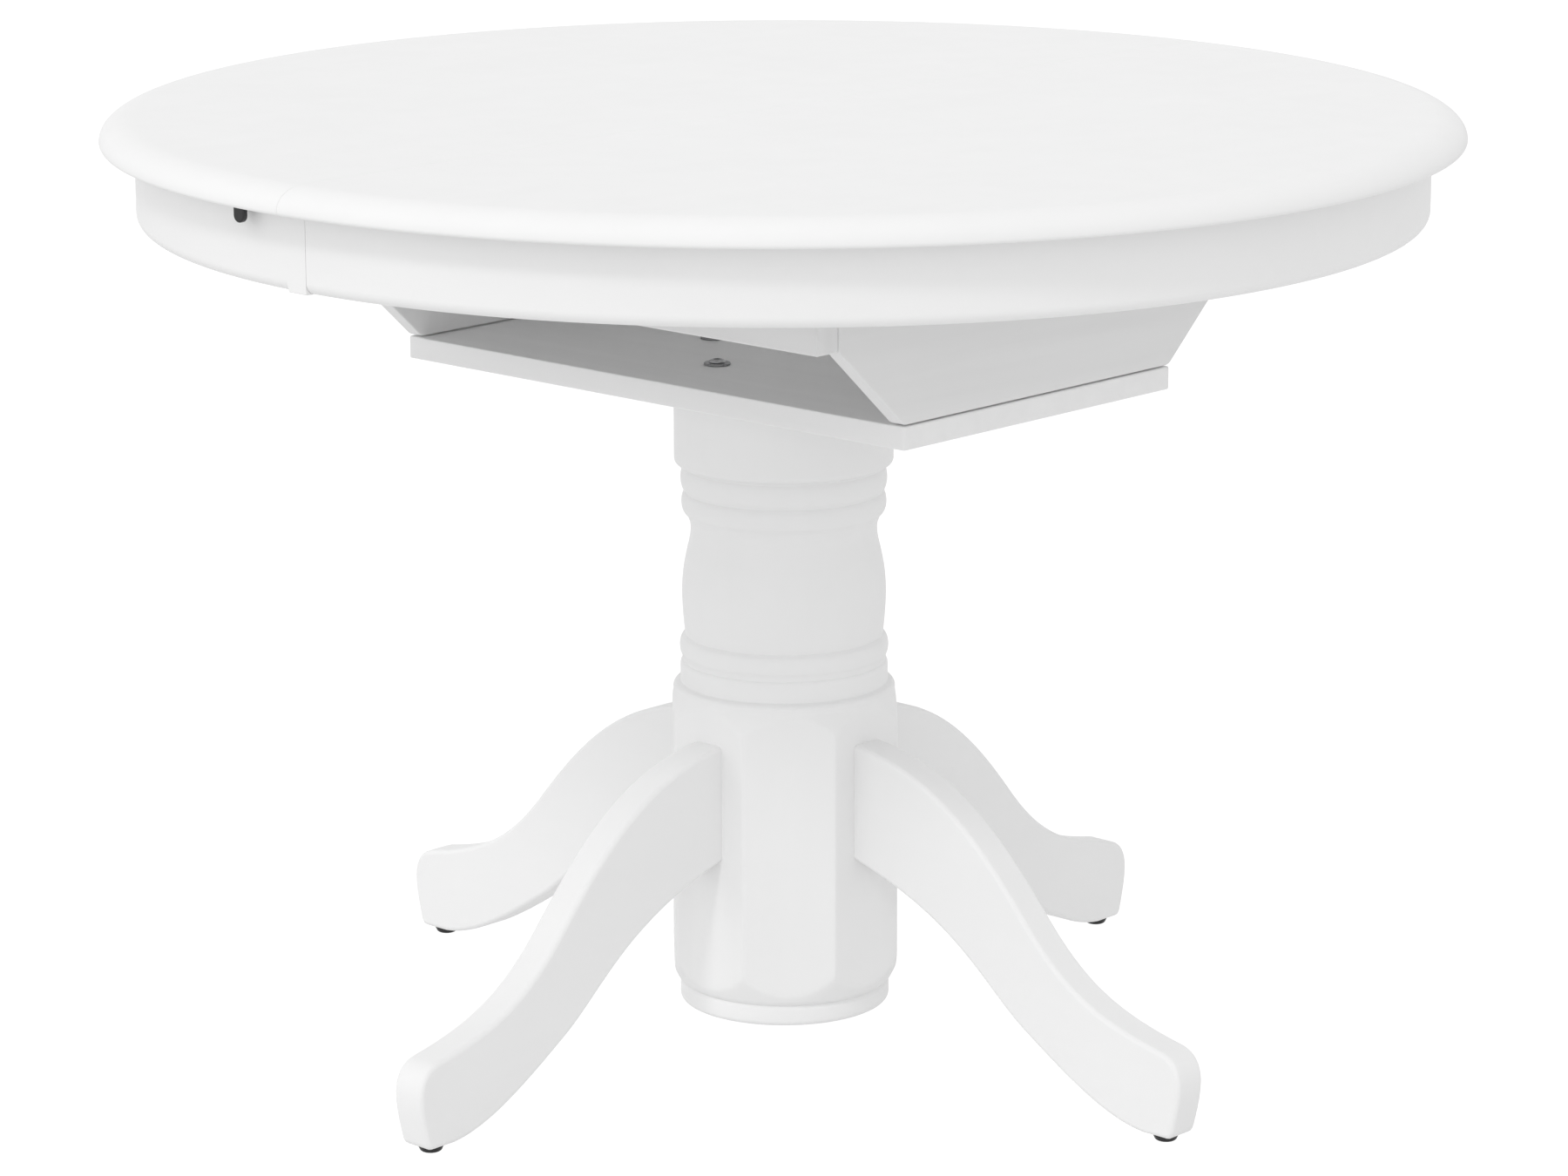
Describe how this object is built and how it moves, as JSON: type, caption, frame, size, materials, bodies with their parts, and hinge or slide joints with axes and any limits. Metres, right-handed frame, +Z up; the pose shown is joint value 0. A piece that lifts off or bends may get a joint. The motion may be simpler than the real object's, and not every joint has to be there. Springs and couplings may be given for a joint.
{
  "type": "extendable dining table",
  "caption": "Round pedestal dining table on four curved legs; the split top slides apart on wooden runners over a folded leaf stored under it.",
  "frame": {"origin": "on the floor under the middle of the column", "axes": "+Z up, +X the way the right half of the top slides out, +Y along the split between the halves"},
  "size_m": [1.06, 1.06, 0.755],
  "materials": {
    "white_lacquer": "white satin lacquer",
    "frame_wood": "white painted, sanded",
    "dark_steel": "dark satin coating",
    "bright_steel": "zinc plated",
    "black_plastic": "matte"
  },
  "bodies": {
    "pedestal": {"column": "white_lacquer", "leg_right": "white_lacquer", "leg_back": "white_lacquer", "leg_left": "white_lacquer", "leg_front": "white_lacquer", "glide_right": "black_plastic", "glide_back": "black_plastic", "glide_left": "black_plastic", "glide_front": "black_plastic", "leg_bolt_right_lower": "bright_steel", "leg_bolt_right_upper": "bright_steel", "leg_bolt_back_lower": "bright_steel", "leg_bolt_back_upper": "bright_steel", "leg_bolt_left_lower": "bright_steel", "leg_bolt_left_upper": "bright_steel", "leg_bolt_front_lower": "bright_steel", "leg_bolt_front_upper": "bright_steel", "mounting_plate": "frame_wood", "plate_washer_right": "dark_steel", "plate_washer_back": "dark_steel", "plate_washer_left": "dark_steel", "plate_washer_front": "dark_steel", "plate_bolt_right": "dark_steel", "plate_bolt_back": "dark_steel", "plate_bolt_left": "dark_steel", "plate_bolt_front": "dark_steel", "cross_board_left": "frame_wood", "cross_board_right": "frame_wood", "rail_front": "frame_wood", "rail_back": "frame_wood", "stop_pin_front_upper": "bright_steel", "stop_pin_front_lower": "bright_steel", "stop_pin_back_upper": "bright_steel", "stop_pin_back_lower": "bright_steel", "leaf_wing_lower": "white_lacquer", "leaf_wing_upper": "white_lacquer", "leaf_hinge_front": "bright_steel", "leaf_hinge_back": "bright_steel"},
    "left_half": {"top_half_left": "white_lacquer", "apron_left": "white_lacquer", "apron_block_left_front": "white_lacquer", "apron_block_left_back": "white_lacquer", "runner_left_front": "frame_wood", "runner_left_back": "frame_wood", "alignment_pin_front": "bright_steel", "alignment_pin_back": "bright_steel", "latch_pivot_front": "bright_steel", "latch_keeper_back": "bright_steel"},
    "right_half": {"top_half_right": "white_lacquer", "apron_right": "white_lacquer", "apron_block_right_front": "white_lacquer", "apron_block_right_back": "white_lacquer", "runner_right_front": "frame_wood", "runner_right_back": "frame_wood", "runner_riser_right_front": "frame_wood", "runner_riser_right_back": "frame_wood", "latch_pivot_back": "bright_steel", "latch_keeper_front": "bright_steel"},
    "front_latch": {"latch_lever_front": "dark_steel"},
    "back_latch": {"latch_lever_back": "dark_steel"}
  },
  "joints": [
    {"name": "left_half_slide", "type": "slide", "parent": "pedestal", "child": "left_half", "axis": [-1, 0, 0], "range_m": [0, 0.195]},
    {"name": "right_half_slide", "type": "slide", "parent": "pedestal", "child": "right_half", "axis": [1, 0, 0], "range_m": [0, 0.195]},
    {"name": "front_latch_turn", "type": "hinge", "parent": "left_half", "child": "front_latch", "pos_m": [-0.061, -0.45, 0.7325], "axis": [0, 0, 1], "range_deg": [0, 12]},
    {"name": "back_latch_turn", "type": "hinge", "parent": "right_half", "child": "back_latch", "pos_m": [0.061, 0.45, 0.7325], "axis": [0, 0, 1], "range_deg": [0, 12]}
  ]
}
